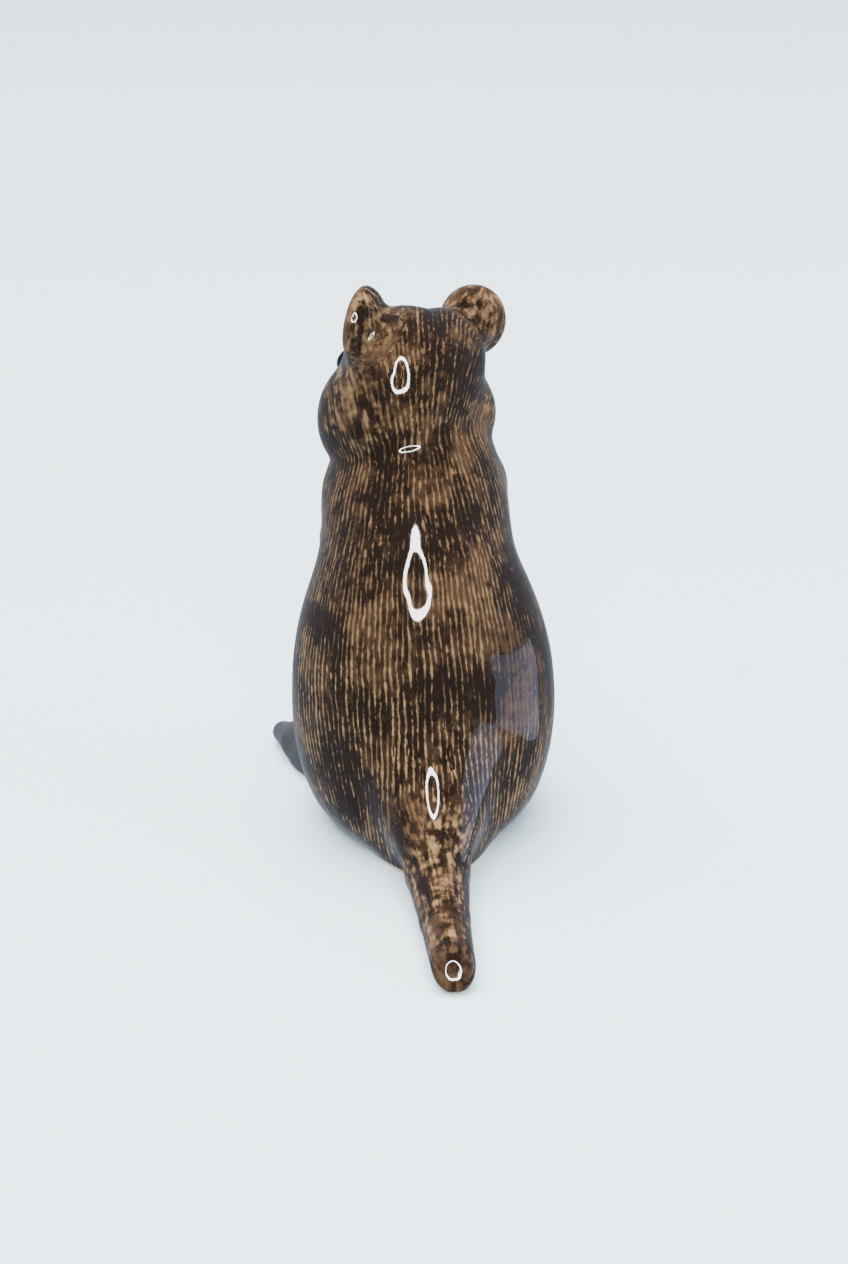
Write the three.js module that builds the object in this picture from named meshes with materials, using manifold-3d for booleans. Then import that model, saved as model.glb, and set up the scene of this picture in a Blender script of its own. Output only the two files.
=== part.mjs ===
// A glazed porcelain quokka, sitting up on its haunches with its head turned to its left.
// Millimetres, +Z up, nose towards -Y, tail towards +Y, origin on the table under the seat.
//
// The animal is one casting, so it is one solid. Each part of the body is a rounded form given as a
// distance function. The forms melt into one another, the whole is turned into a mesh of facets that
// lie on its surface, and the underside is cut flat where the figure stands.
import * as THREE from 'three';
import Module from 'manifold-3d';

// Driving sizes, in millimetres
const figureHeight = 66; // table to the ear tips
const tailReach = 38.6; // from the middle of the seat back to the tail's blunt end
const tailWidth = 5.5; // near its tip
const footLength = 21;
const footWidth = 8.4; // across the toes
const earWidth = 7.8; // across the opening
const earHeight = 8.6;
const earDepth = 3.2; // of the cup behind the opening
const fineFacet = 1.05; // step of the mesh on the face, ears, paws and toes
const facet = 1.36; // on the rest of the head and feet
const bodyFacet = 2.4; // on the plain parts of the body

// The pose is drawn in parts, each a hundredth of the figure's height.
const part = figureHeight / 100;
const at = (x, y, z) => new THREE.Vector3(x, y, z).multiplyScalar(part);
const sizes = (x, y, z) => at(x, y, z);
const degrees = THREE.MathUtils.degToRad;
const turn = (x, y, z) => new THREE.Quaternion().setFromEuler(
  new THREE.Euler(degrees(x), degrees(y), degrees(z), 'ZYX'));
const upright = turn(0, 0, 0);

// A form is a function from a point to its distance from the form's surface, negative inside.
function ellipsoid(centre, radii, rotation = upright) {
  const back = rotation.clone().invert();
  return (point) => {
    const q = point.clone().sub(centre).applyQuaternion(back).divide(radii);
    const steepness = q.clone().divide(radii).length();
    const reach = q.length();
    return steepness === 0 ? -Math.min(...radii) : reach * (reach - 1) / steepness;
  };
}

function limb(from, to, radiusFrom, radiusTo) {
  const axis = to.clone().sub(from);
  return (point) => {
    const q = point.clone().sub(from);
    const along = THREE.MathUtils.clamp(q.dot(axis) / axis.lengthSq(), 0, 1);
    const radius = THREE.MathUtils.lerp(radiusFrom, radiusTo, along);
    return q.addScaledVector(axis, -along).length() - radius;
  };
}

// Everything on the far side of a plane from where its normal points
const behindPlane = (place, normal) => (point) => point.clone().sub(place).dot(normal);

function softMin(a, b, softness) {
  const mix = Math.max(softness - Math.abs(a - b), 0) / softness;
  return Math.min(a, b) - mix * mix * softness / 4;
}

const blend = (softness, ...forms) => (point) =>
  forms.map((form) => form(point)).reduce((a, b) => softMin(a, b, softness));

const carve = (softness, form, tool) => (point) => -softMin(-form(point), tool(point), softness);

const common = (softness, form, other) => (point) => -softMin(-form(point), -other(point), softness);

// The form and its mirror image in the animal's middle plane
const bothSides = (form) => (point) => form(point.clone().setX(Math.abs(point.x)));

const turned = (form, pivot, rotation) => {
  const back = rotation.clone().invert();
  return (point) => form(point.clone().sub(pivot).applyQuaternion(back).add(pivot));
};

function torso() {
  const seat = ellipsoid(at(0, 0.4, 28), sizes(23.3, 20, 28.5));
  const trunk = ellipsoid(at(0.8, 0.7, 43.2), sizes(17.1, 17.6, 27.7));
  const chest = ellipsoid(at(0.5, -6.5, 60.5), sizes(13.3, 11.7, 16.6));
  const neck = limb(at(0.3, -6.2, 64), at(1, -7.1, 79), 12.7 * part, 11 * part);
  const belly = ellipsoid(at(0, -9, 30), sizes(15, 16, 21));
  const soft = blend(9 * part, seat, trunk, chest, neck, belly);
  const haunch = ellipsoid(at(13, -4.5, 18), sizes(10.2, 17.5, 18.8), turn(14, 0, 8));
  const rump = ellipsoid(at(0, 4.6, 9), sizes(15.4, 15.2, 12.5));
  const loin = ellipsoid(at(-0.5, 7.9, 16), sizes(10, 15.6, 30));
  return blend(4 * part, soft, bothSides(haunch), rump, loin);
}

// Where a line from inside a form comes out of it
function surfaceAt(form, from, direction) {
  const point = from.clone();
  for (let step = 0; step < 80; step++) point.addScaledVector(direction, -0.7 * form(point));
  return point;
}

function head() {
  const skull = ellipsoid(at(1.6, -2.6, 81), sizes(12, 9.2, 14.5));
  const crown = ellipsoid(at(5, -4, 88), sizes(6.2, 6.6, 7.2));
  const face = ellipsoid(at(0, -9.6, 80.2), sizes(10.6, 11, 11.4));
  const cheek = ellipsoid(at(7.3, -8.4, 74.2), sizes(8, 9, 8.4));
  const bridge = limb(at(0, -11, 84.6), at(0, -21.6, 79.4), 5.8 * part, 4.6 * part);
  const lip = ellipsoid(at(3, -21.2, 75.4), sizes(5, 6.6, 4.8));
  const chin = ellipsoid(at(0, -19.6, 71.6), sizes(4.8, 5.8, 3.4));
  const brow = ellipsoid(at(5, -13, 86.8), sizes(4, 4.2, 2.8));
  const ruff = ellipsoid(at(10, -4.4, 77.4), sizes(4.9, 6, 6));
  const temple = ellipsoid(at(8.9, -8.8, 78.2), sizes(5.6, 6.5, 6.3));
  const muzzle = blend(1.6 * part, bothSides(lip), chin);
  const paired = blend(3.6 * part, crown, cheek, brow, ruff, temple);
  const round = blend(3.6 * part, skull, face, bridge, bothSides(paired), muzzle);

  const gaze = new THREE.Vector3(0.46, -0.88, 0.06).normalize();
  const socket = surfaceAt(round, at(0.4, -9.2, 82.2), gaze);
  const eye = ellipsoid(socket.addScaledVector(gaze, -0.8 * part), sizes(2.7, 2.7, 2.7));
  const ahead = new THREE.Vector3(0, -1, 0);
  const tip = surfaceAt(round, at(0, -20, 78.6), ahead);
  const nose = ellipsoid(tip.addScaledVector(ahead, -0.7 * part), sizes(3.1, 1.9, 2.2));
  return blend(1.8 * part, blend(1 * part, round, nose, bothSides(eye)), bothSides(ear()));
}

// The left ear: a cup that opens forwards and outwards, hung from its tip
function ear() {
  const facing = turn(-6, 14, 38);
  const up = new THREE.Vector3(0, 0, 1).applyQuaternion(facing);
  const out = new THREE.Vector3(0, -1, 0).applyQuaternion(facing);
  const middle = at(12.2, -5.4, 99).addScaledVector(up, -earHeight / 2);
  const cup = ellipsoid(middle, new THREE.Vector3(earWidth / 2, earDepth, earHeight / 2), facing);
  const rim = behindPlane(middle.clone().addScaledVector(out, 0.5 * part), out);
  const hollow = ellipsoid(middle.clone().addScaledVector(out, 1.4 * part),
    new THREE.Vector3(earWidth * 0.33, earDepth * 0.66, earHeight * 0.34), facing);
  const root = limb(at(5.6, -5, 87), middle, 3.6 * part, 2.4 * part);
  return carve(1.4 * part, blend(2.4 * part, common(1.4 * part, cup, rim), root), hollow);
}

function foreleg() {
  const shoulder = at(10.6, -7, 63.5);
  const elbow = at(11.6, -14, 52);
  const wrist = at(5.4, -22.8, 47);
  const upper = limb(shoulder, elbow, 5.2 * part, 4.8 * part);
  const lower = limb(elbow, wrist, 4.4 * part, 3 * part);
  const palm = ellipsoid(at(4.6, -24.4, 44.6), sizes(3.2, 2.9, 3.6), turn(24, 0, -16));
  const fingers = [-2, 0, 2].map((offset) =>
    limb(at(4.6 + offset, -25, 43), at(4.2 + offset, -24.6, 39.6), 1.4 * part, 1.2 * part));
  return blend(1.8 * part, upper, lower, palm, ...fingers);
}

function hindFoot(heel, outward) {
  const along = new THREE.Vector3(Math.sin(degrees(outward)), -Math.cos(degrees(outward)), 0);
  const across = new THREE.Vector3(Math.cos(degrees(outward)), Math.sin(degrees(outward)), 0);
  const place = (length, width, height) => heel.clone().setZ(height)
    .addScaledVector(along, length).addScaledVector(across, width);
  const sole = limb(heel, place(footLength - 6 * part, 0, 3.2 * part), 5 * part, 4.6 * part);
  const ball = ellipsoid(place(footLength * 0.66, 0, 2.4 * part),
    new THREE.Vector3(footWidth * 0.5, footLength * 0.36, 5 * part), turn(0, 0, outward));
  const toes = [-1, 0, 1].map((side) => {
    const reach = footLength + (side === 0 ? 1.5 : 0) * part;
    const width = side * footWidth * 0.34;
    return limb(place(reach - 8 * part, width, 4 * part), place(reach, width, 2.4 * part),
      2.6 * part, 2.2 * part);
  });
  return blend(1.6 * part, sole, ball, ...toes);
}

function hindFeet() {
  return blend(1.2 * part, hindFoot(at(13.8, -8.5, 3.2), 16), hindFoot(at(-15.8, -8.5, 3.2), -4));
}

function tail() {
  const radius = tailWidth / 2;
  const bend = at(-0.6, 29, 5.6);
  const middle = at(-1.1, 42, 4);
  const end = new THREE.Vector3(-1.8 * part, tailReach, radius * 0.88);
  const whole = blend(0.7 * part,
    limb(at(-0.4, 14.4, 17.7), bend, 9.3 * part, 5.5 * part),
    limb(bend, middle, 5.5 * part, radius),
    limb(middle, end, radius, radius * 0.84));
  return common(2.6 * part, whole, behindPlane(end, new THREE.Vector3(0, 1, 0.5).normalize()));
}

function animal() {
  const turnedHead = turned(head(), at(1, -4.6, 78), turn(0, -7, 27));
  const forelegs = turned(bothSides(foreleg()), at(0, -4, 60), turn(0, 0, 6));
  const body = blend(1.2 * part, torso(), turnedHead);
  const withTail = blend(6 * part, body, tail());
  return blend(2 * part, withTail, forelegs, hindFeet());
}

// Planes of the grid from low to high, each a step from the last
function planes(low, high, stepAt) {
  const places = [low];
  while (places.at(-1) < high) places.push(places.at(-1) + stepAt(places.at(-1)));
  return places;
}

// A cell of the grid: its corners, its edges as pairs of corners, and each of its faces as a ring
const cornerCount = 8;
const corners = Array.from({ length: cornerCount }, (_, c) => [c & 1, (c >> 1) & 1, c >> 2]);
const axisBits = [1, 2, 4];
const edges = corners.flatMap((_, a) =>
  axisBits.filter((bit) => !(a & bit)).map((bit) => [a, a | bit]));
const slotOf = (a, b) =>
  edges.findIndex(([low, high]) => low === Math.min(a, b) && high === Math.max(a, b));
const faceRings = axisBits.flatMap((bit) => {
  const [u, w] = axisBits.filter((other) => other !== bit);
  return [0, bit].map((side) => [side, side | u, side | u | w, side | w]);
});

// The crossed edges of one cell, grouped by the sheet of the surface that crosses them
function sheets(value) {
  const sheetOf = new Map();
  edges.forEach(([a, b], slot) => {
    if (value[a] < 0 !== value[b] < 0) sheetOf.set(slot, slot);
  });
  for (const ring of faceRings)
    for (let start = 0; start < 4; start++) {
      const corner = (n) => ring[(start + n) % 4];
      if (value[corner(0)] < 0 || value[corner(1)] >= 0) continue;
      let last = 1;
      while (value[corner(last + 1)] < 0) last++;
      const from = sheetOf.get(slotOf(corner(0), corner(1)));
      const to = sheetOf.get(slotOf(corner(last), corner(last + 1)));
      for (const [slot, sheet] of sheetOf) if (sheet === from) sheetOf.set(slot, to);
    }
  return Map.groupBy(sheetOf.keys(), (slot) => sheetOf.get(slot)).values();
}

// Surface nets: one vertex for each sheet of the surface in a cell, one face for each crossed grid edge.
function facets(form, xs, ys, zs) {
  const [nx, ny, nz] = [xs.length, ys.length, zs.length];
  const index = (i, j, k) => (k * ny + j) * nx + i;
  const values = new Float64Array(nx * ny * nz);
  const corner = new THREE.Vector3();
  for (let k = 0; k < nz; k++)
    for (let j = 0; j < ny; j++)
      for (let i = 0; i < nx; i++) values[index(i, j, k)] = form(corner.set(xs[i], ys[j], zs[k]));

  const vertexOf = new Map();
  const points = [];
  const place = (i, j, k, c) =>
    new THREE.Vector3(xs[i + corners[c][0]], ys[j + corners[c][1]], zs[k + corners[c][2]]);
  for (let k = 0; k < nz - 1; k++)
    for (let j = 0; j < ny - 1; j++)
      for (let i = 0; i < nx - 1; i++) {
        const value = corners.map(([a, b, c]) => values[index(i + a, j + b, k + c)]);
        for (const sheet of sheets(value)) {
          const sum = new THREE.Vector3();
          for (const slot of sheet) {
            const [a, b] = edges[slot];
            sum.add(place(i, j, k, a).lerp(place(i, j, k, b), value[a] / (value[a] - value[b])));
            vertexOf.set(index(i, j, k) * edges.length + slot, points.length);
          }
          points.push(sum.divideScalar(sheet.length));
        }
      }

  const triangles = [];
  const around = [[[0, 0, 0], [0, 1, 0], [0, 1, 1], [0, 0, 1]],
    [[0, 0, 0], [0, 0, 1], [1, 0, 1], [1, 0, 0]],
    [[0, 0, 0], [1, 0, 0], [1, 1, 0], [0, 1, 0]]];
  for (let k = 1; k < nz - 1; k++)
    for (let j = 1; j < ny - 1; j++)
      for (let i = 1; i < nx - 1; i++)
        axisBits.forEach((bit, axis) => {
          const [di, dj, dk] = corners[bit];
          const here = values[index(i, j, k)] < 0;
          const next = values[index(i + di, j + dj, k + dk)] < 0;
          if (here === next) return;
          const quad = around[axis].map(([a, b, c]) => {
            const low = a + 2 * b + 4 * c;
            return vertexOf.get(index(i - a, j - b, k - c) * edges.length + slotOf(low, low | bit));
          });
          const [a, b, c, d] = here ? quad : quad.reverse();
          const shortWay = points[a].distanceTo(points[c]) < points[b].distanceTo(points[d]);
          triangles.push(...(shortWay ? [a, b, c, a, c, d] : [a, b, d, b, c, d]));
        });
  return { points, triangles };
}

// Moves each vertex onto the form's surface along the slope of the distance.
function settle(form, points, rounds) {
  const probe = facet / 20;
  for (const point of points)
    for (let round = 0; round < rounds; round++) {
      const here = form(point);
      const slope = new THREE.Vector3(
        form(point.clone().setX(point.x + probe)) - here,
        form(point.clone().setY(point.y + probe)) - here,
        form(point.clone().setZ(point.z + probe)) - here).divideScalar(probe);
      const step = -here / Math.max(slope.lengthSq(), 0.25);
      point.addScaledVector(slope, THREE.MathUtils.clamp(step, -facet / 2, facet / 2));
    }
}

// Evens out the facets: each vertex goes part of the way to the middle of its neighbours.
function relax(points, triangles) {
  const sums = points.map(() => new THREE.Vector3());
  const counts = points.map(() => 0);
  for (let t = 0; t < triangles.length; t += 3)
    for (let c = 0; c < 3; c++) {
      const [a, b] = [triangles[t + c], triangles[t + (c + 1) % 3]];
      sums[a].add(points[b]);
      counts[a] += 1;
    }
  points.forEach((point, i) => point.lerp(sums[i].divideScalar(counts[i]), 0.5));
}

// The grid is finer where the face, ears, paws and toes are, given in parts like the pose.
const paws = -14;
const backOfHead = 2;
const eyebrows = 84;
const chin = 38;
const instep = 9;
const flank = 17;
const underTable = 14; // how far the forms reach down before they are cut at the table

function meshOf(form) {
  const margin = 3 * facet;
  const side = 20 * part + footLength * 0.3 + footWidth / 2 + margin;
  const front = 14 * part + footLength + margin;
  const plainFacet = bodyFacet * 0.8;
  const xStep = (x) => (Math.abs(x) < flank * part ? facet : plainFacet);
  const yStep = (y) => (y < paws * part ? fineFacet : y < backOfHead * part ? facet : plainFacet);
  const zStep = (z) => {
    if (z > eyebrows * part) return fineFacet;
    return z < instep * part || z > chin * part ? facet : bodyFacet;
  };
  const xs = planes(-side, side, xStep);
  const ys = planes(-front, tailReach + margin, yStep);
  const zs = planes(-underTable * part - margin, figureHeight + margin, zStep);
  const { points, triangles } = facets(form, xs, ys, zs);
  for (let round = 0; round < 3; round++) {
    settle(form, points, 2);
    relax(points, triangles);
  }
  settle(form, points, 3);
  return { points, triangles };
}

const wasm = await Module();
wasm.setup();

const solidFrom = (positions, indices) => new wasm.Manifold(new wasm.Mesh({
  numProp: 3, vertProperties: new Float32Array(positions), triVerts: new Uint32Array(indices) }));

// What lies below the table, to be cut away so that the figure stands on flat patches
function belowTable() {
  const side = 3 * (figureHeight + tailReach + footLength);
  const box = new THREE.BoxGeometry(side, side, side).translate(0, 0, -side / 2);
  const positions = [];
  const indexOf = new Map();
  const indices = [...box.index.array].map((i) => {
    const p = new THREE.Vector3().fromBufferAttribute(box.attributes.position, i);
    const key = p.toArray().join();
    if (!indexOf.has(key)) {
      indexOf.set(key, indexOf.size);
      positions.push(...p.toArray());
    }
    return indexOf.get(key);
  });
  return solidFrom(positions, indices);
}

const { points, triangles } = meshOf(animal());
const cast = solidFrom(points.flatMap((p) => p.toArray()), triangles).subtract(belowTable());
const cut = cast.getMesh();
const geometry = new THREE.BufferGeometry();
geometry.setAttribute('position', new THREE.BufferAttribute(new Float32Array(cut.vertProperties), 3));
geometry.setIndex([...cut.triVerts]);
geometry.computeVertexNormals();

const glaze = new THREE.MeshStandardMaterial({ color: 0x5a4028, roughness: 0.12, metalness: 0 });
const quokka = new THREE.Mesh(geometry, glaze);
quokka.name = 'quokka_figurine';

const figure = new THREE.Group();
figure.add(quokka);
export default figure;
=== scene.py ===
# %% [markdown]
# # A glazed porcelain quokka
# The real object is a small slip-cast animal, about 66 mm tall. Its fur is drawn in fine lines under a
# clear, wet-looking glaze. The solid model already has its outline and pose. This lesson gives it a fine
# surface, modelled eyes, ears, paws and fur, and the painted and glazed finish.

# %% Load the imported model
import math

import bmesh
import bpy
import numpy as np
from mathutils import Euler, Matrix, Vector


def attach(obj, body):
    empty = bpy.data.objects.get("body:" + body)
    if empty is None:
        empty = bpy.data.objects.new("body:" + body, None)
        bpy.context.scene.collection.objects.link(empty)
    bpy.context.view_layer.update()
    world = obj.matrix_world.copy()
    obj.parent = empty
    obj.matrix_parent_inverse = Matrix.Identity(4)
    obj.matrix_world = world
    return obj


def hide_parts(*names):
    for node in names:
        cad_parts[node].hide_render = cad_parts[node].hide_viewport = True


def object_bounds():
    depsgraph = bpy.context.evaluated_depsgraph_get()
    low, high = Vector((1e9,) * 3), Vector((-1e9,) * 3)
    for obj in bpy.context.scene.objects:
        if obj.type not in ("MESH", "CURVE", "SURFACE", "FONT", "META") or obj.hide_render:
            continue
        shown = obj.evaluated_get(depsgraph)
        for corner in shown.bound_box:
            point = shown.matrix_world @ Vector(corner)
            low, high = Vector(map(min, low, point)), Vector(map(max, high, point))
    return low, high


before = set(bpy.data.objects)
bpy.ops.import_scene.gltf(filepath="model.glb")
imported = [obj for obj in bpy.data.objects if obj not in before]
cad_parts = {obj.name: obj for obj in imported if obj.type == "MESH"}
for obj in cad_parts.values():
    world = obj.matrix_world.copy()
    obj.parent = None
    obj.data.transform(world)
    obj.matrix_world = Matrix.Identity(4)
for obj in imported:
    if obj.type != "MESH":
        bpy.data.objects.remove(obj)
cad_low, cad_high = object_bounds()
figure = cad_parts["quokka_figurine"]
print("solid model, mm:", [round(1000 * side, 1) for side in cad_high - cad_low])

# %% [markdown]
# ## Sizes
# The animal is drawn in parts, each a hundredth of its height, as a sculptor measures with callipers.
# The numbers are millimetres until the mesh is handed to Blender, which works in metres.

# %% Sizes of the figure
FIGURE_HEIGHT = 66.0
TAIL_REACH = 38.6
TAIL_WIDTH = 5.5
FOOT_LENGTH = 21.0
FOOT_WIDTH = 8.4
EAR_WIDTH = 7.8
EAR_HEIGHT = 8.6
EAR_DEPTH = 3.2
PART = FIGURE_HEIGHT / 100
METRE = 0.001


def at(x, y, z):
    return np.array([x, y, z]) * PART


def turn(x, y, z):
    """A turn about X, then Y, then Z, in degrees, as a matrix."""
    angles = [math.radians(a) for a in (x, y, z)]
    return np.array(Euler(angles, "XYZ").to_matrix())


def unit(vector):
    return np.asarray(vector) / np.linalg.norm(vector)


# %% [markdown]
# ## Forms as distances
# A form is a function that says how far a point is from a surface, with negative values inside. Two
# forms melt together when the smaller distance is taken with a soft corner. That is how clay joins,
# and it needs no retopology, which is why it is used here instead of sculpting with modifiers.

# %% The kinds of form
def ellipsoid(centre, radii, way=np.eye(3)):
    def form(p):
        q = (p - centre) @ way / radii
        reach = np.sqrt((q * q).sum(1))
        steepness = np.sqrt(((q / radii) ** 2).sum(1))
        return reach * (reach - 1) / np.maximum(steepness, 1e-9)

    return form


def limb(start, end, start_radius, end_radius):
    axis = end - start

    def form(p):
        q = p - start
        along = np.clip(q @ axis / (axis @ axis), 0, 1)
        gap = np.sqrt(((q - along[:, None] * axis) ** 2).sum(1))
        return gap - (start_radius + (end_radius - start_radius) * along)

    return form


def behind_plane(place, normal):
    return lambda p: (p - place) @ normal


# %% Joining, carving and placing forms
def soft_min(a, b, softness):
    mix = np.maximum(softness - np.abs(a - b), 0) / softness
    return np.minimum(a, b) - mix * mix * softness / 4


def blend(softness, *forms):
    def form(p):
        value = forms[0](p)
        for other in forms[1:]:
            value = soft_min(value, other(p), softness)
        return value

    return form


def carve(softness, form, tool):
    return lambda p: -soft_min(-form(p), tool(p), softness)


def common(softness, form, other):
    return lambda p: -soft_min(-form(p), -other(p), softness)


def both_sides(form):
    return lambda p: form(np.column_stack([np.abs(p[:, 0]), p[:, 1], p[:, 2]]))


def turned(form, pivot, way):
    return lambda p: form((p - pivot) @ way + pivot)


def surface_at(form, start, direction):
    """Where a line from inside a form comes out of it."""
    point = start.astype(float).copy()
    for _ in range(80):
        point += direction * (-0.7 * form(point[None])[0])
    return point


# %% [markdown]
# ## The body
# The seated body is a pear: a wide seat, a narrower trunk, a chest and a neck, with a rounded haunch on
# each side. The tail is the rear of the body drawn out to a blunt, square end that rests on the table.

# %% Torso and tail
def torso():
    seat = ellipsoid(at(0, 0.4, 28), at(23.3, 20, 28.5))
    trunk = ellipsoid(at(0.8, 0.7, 43.2), at(17.1, 17.6, 27.7))
    chest = ellipsoid(at(0.5, -6.5, 60.5), at(13.3, 11.7, 16.6))
    neck = limb(at(0.3, -6.2, 64), at(1, -7.1, 79), 12.7 * PART, 11 * PART)
    belly = ellipsoid(at(0, -9, 30), at(15, 16, 21))
    soft = blend(9 * PART, seat, trunk, chest, neck, belly)
    haunch = ellipsoid(at(13, -4.5, 18), at(10.2, 17.5, 18.8), turn(14, 0, 8))
    rump = ellipsoid(at(0, 4.6, 9), at(15.4, 15.2, 12.5))
    loin = ellipsoid(at(-0.5, 7.9, 16), at(10, 15.6, 30))
    return blend(4 * PART, soft, both_sides(haunch), rump, loin)


TAIL_END = np.array([-1.8 * PART, TAIL_REACH, TAIL_WIDTH * 0.44])
TAIL_CUT = unit([0, 1, 0.5])


def tail():
    radius = TAIL_WIDTH / 2
    bend, middle = at(-0.6, 29, 5.6), at(-1.1, 42, 4)
    whole = blend(
        0.7 * PART,
        limb(at(-0.4, 14.4, 17.7), bend, 9.3 * PART, 5.5 * PART),
        limb(bend, middle, 5.5 * PART, radius),
        limb(middle, TAIL_END, radius, radius * 0.84),
    )
    return common(2.6 * PART, whole, behind_plane(TAIL_END, TAIL_CUT))


# %% [markdown]
# ## The head
# The face is turned away from the photograph, so it follows the kind of animal: a round skull, full
# cheeks, a short muzzle with a leathery nose, dark eyes set wide, and lips that curl up at the corners.
# The eyes and the nose are found on the finished head, so that they stay on it when it changes.

# %% Head, eyes and nose
HEAD_PIVOT = at(1, -4.6, 78)
HEAD_TURN = turn(0, -7, 27)
AHEAD = np.array([0.0, -1.0, 0.0])
GAZE = unit([0.46, -0.88, 0.06])


def bare_head():
    skull = ellipsoid(at(1.6, -2.6, 81), at(12, 9.2, 14.5))
    crown = ellipsoid(at(5, -4, 88), at(6.2, 6.6, 7.2))
    face = ellipsoid(at(0, -9.6, 80.2), at(10.6, 11, 11.4))
    cheek = ellipsoid(at(7.3, -8.4, 74.2), at(8, 9, 8.4))
    bridge = limb(at(0, -11, 84.6), at(0, -21.6, 79.4), 5.8 * PART, 4.6 * PART)
    lip = ellipsoid(at(3, -21.2, 75.4), at(5, 6.6, 4.8))
    chin = ellipsoid(at(0, -19.6, 71.6), at(4.8, 5.8, 3.4))
    brow = ellipsoid(at(5, -13, 86.8), at(4, 4.2, 2.8))
    ruff = ellipsoid(at(10, -4.4, 77.4), at(4.9, 6, 6))
    temple = ellipsoid(at(8.9, -8.8, 78.2), at(5.6, 6.5, 6.3))
    muzzle = blend(1.6 * PART, both_sides(lip), chin)
    paired = blend(3.6 * PART, crown, cheek, brow, ruff, temple)
    return blend(3.6 * PART, skull, face, bridge, both_sides(paired), muzzle)


ROUND_HEAD = bare_head()
EYE = surface_at(ROUND_HEAD, at(0.4, -9.2, 82.2), GAZE) - GAZE * 0.8 * PART
NOSE = surface_at(ROUND_HEAD, at(0, -20, 78.6), AHEAD) - AHEAD * 0.7 * PART
EYE_RADIUS = 2.7 * PART
NOSE_RADII = at(3.1, 1.9, 2.2)
print("eye and nose, mm:", EYE.round(2), NOSE.round(2))


# %% [markdown]
# An ear is half a cup: a flattened egg cut by a plane, hollowed from the front. It leans outwards and
# opens to the side, as the outline in the photograph shows.

# %% Ears
EAR_WAY = turn(-6, 14, 38)
EAR_UP = EAR_WAY @ np.array([0, 0, 1.0])
EAR_OUT = EAR_WAY @ AHEAD
EAR_MIDDLE = at(12.2, -5.4, 99) - EAR_UP * EAR_HEIGHT / 2


def ear():
    cup = ellipsoid(EAR_MIDDLE, np.array([EAR_WIDTH / 2, EAR_DEPTH, EAR_HEIGHT / 2]), EAR_WAY)
    rim = behind_plane(EAR_MIDDLE + EAR_OUT * 0.5 * PART, EAR_OUT)
    hollow = ellipsoid(
        EAR_MIDDLE + EAR_OUT * 1.4 * PART,
        np.array([EAR_WIDTH * 0.33, EAR_DEPTH * 0.66, EAR_HEIGHT * 0.34]),
        EAR_WAY,
    )
    root = limb(at(5.6, -5, 87), EAR_MIDDLE, 3.6 * PART, 2.4 * PART)
    return carve(1.4 * PART, blend(2.4 * PART, common(1.4 * PART, cup, rim), root), hollow)


def head():
    eye = ellipsoid(EYE, EYE_RADIUS * np.ones(3))
    nose = ellipsoid(NOSE, NOSE_RADII)
    front = blend(1 * PART, ROUND_HEAD, nose, both_sides(eye))
    return blend(1.8 * PART, front, both_sides(ear()))


# %% [markdown]
# ## Legs
# The forelegs hang from the shoulders and the paws meet in front of the belly. The hind feet are long
# and flat, with a broad ball and three toes, and they carry the figure together with the seat and tail.

# %% Forelegs and hind feet
SHOULDER, ELBOW, WRIST = at(10.6, -7, 63.5), at(11.6, -14, 52), at(5.4, -22.8, 47)


def foreleg():
    upper = limb(SHOULDER, ELBOW, 5.2 * PART, 4.8 * PART)
    lower = limb(ELBOW, WRIST, 4.4 * PART, 3 * PART)
    palm = ellipsoid(at(4.6, -24.4, 44.6), at(3.2, 2.9, 3.6), turn(24, 0, -16))
    fingers = [
        limb(at(4.6 + offset, -25, 43), at(4.2 + offset, -24.6, 39.6), 1.4 * PART, 1.2 * PART)
        for offset in (-2, 0, 2)
    ]
    return blend(1.8 * PART, upper, lower, palm, *fingers)


def hind_foot(heel, outward):
    angle = math.radians(outward)
    along = np.array([math.sin(angle), -math.cos(angle), 0])
    across = np.array([math.cos(angle), math.sin(angle), 0])

    def place(length, width, height):
        return np.array([heel[0], heel[1], height]) + along * length + across * width

    sole = limb(heel, place(FOOT_LENGTH - 6 * PART, 0, 3.2 * PART), 5 * PART, 4.6 * PART)
    ball_radii = np.array([FOOT_WIDTH * 0.5, FOOT_LENGTH * 0.36, 5 * PART])
    ball = ellipsoid(place(FOOT_LENGTH * 0.66, 0, 2.4 * PART), ball_radii, turn(0, 0, outward))
    toes = []
    for side in (-1, 0, 1):
        reach = FOOT_LENGTH + (1.5 * PART if side == 0 else 0)
        width = side * FOOT_WIDTH * 0.34
        knuckle = place(reach - 8 * PART, width, 4 * PART)
        toes.append(limb(knuckle, place(reach, width, 2.4 * PART), 2.6 * PART, 2.2 * PART))
    return blend(1.6 * PART, sole, ball, *toes)


def hind_feet():
    left = hind_foot(at(13.8, -8.5, 3.2), 16)
    right = hind_foot(at(-15.8, -8.5, 3.2), -4)
    return blend(1.2 * PART, left, right)


# %% The whole animal
TURNED_HEAD = turned(head(), HEAD_PIVOT, HEAD_TURN)
FORELEG_PIVOT, FORELEG_TURN = at(0, -4, 60), turn(0, 0, 6)
FORELEGS = turned(both_sides(foreleg()), FORELEG_PIVOT, FORELEG_TURN)
HIND_FEET = hind_feet()
BODY = blend(6 * PART, blend(1.2 * PART, torso(), TURNED_HEAD), tail())
ANIMAL = blend(2 * PART, BODY, FORELEGS, HIND_FEET)

cad_points = np.array([v.co for v in figure.data.vertices]) / METRE
cad_miss = np.abs(ANIMAL(cad_points[cad_points[:, 2] > 0.01]))
print("solid's corners lie within mm of the forms:", cad_miss.max().round(3))

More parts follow.
